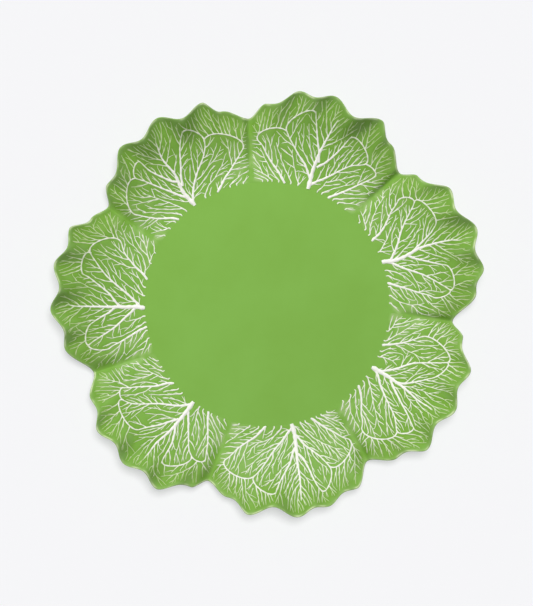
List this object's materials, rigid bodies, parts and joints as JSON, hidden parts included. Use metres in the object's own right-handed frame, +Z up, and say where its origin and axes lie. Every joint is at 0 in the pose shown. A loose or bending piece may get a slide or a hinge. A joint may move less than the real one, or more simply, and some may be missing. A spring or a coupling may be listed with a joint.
{
  "type": "round serving platter",
  "caption": "Round glazed ceramic serving platter with a flat plain well and a raised rim of overlapping ruffled cabbage leaves with white raised veins, on a foot ring.",
  "frame": {"origin": "on the surface that the platter stands on, below the middle of the well", "axes": "+Z up, out of the well; +Y towards the top of the picture, +X to its right"},
  "size_m": [0.3556, 0.3502, 0.0499],
  "materials": {
    "green_glaze": "glossy leaf-green glaze",
    "white_glaze": "glossy warm white glaze",
    "bare_clay": "unglazed fired clay"
  },
  "bodies": {
    "root": {"well_plate": "green_glaze", "foot_ring": "bare_clay", "leaf_upper_right": "green_glaze", "leaf_upper_left": "green_glaze", "leaf_left": "green_glaze", "leaf_lower_left": "green_glaze", "leaf_lower": "green_glaze", "leaf_lower_right": "green_glaze", "leaf_right": "green_glaze", "veins_upper_right": "white_glaze", "veins_upper_left": "white_glaze", "veins_left": "white_glaze", "veins_lower_left": "white_glaze", "veins_lower": "white_glaze", "veins_lower_right": "white_glaze", "veins_right": "white_glaze"}
  },
  "joints": []
}
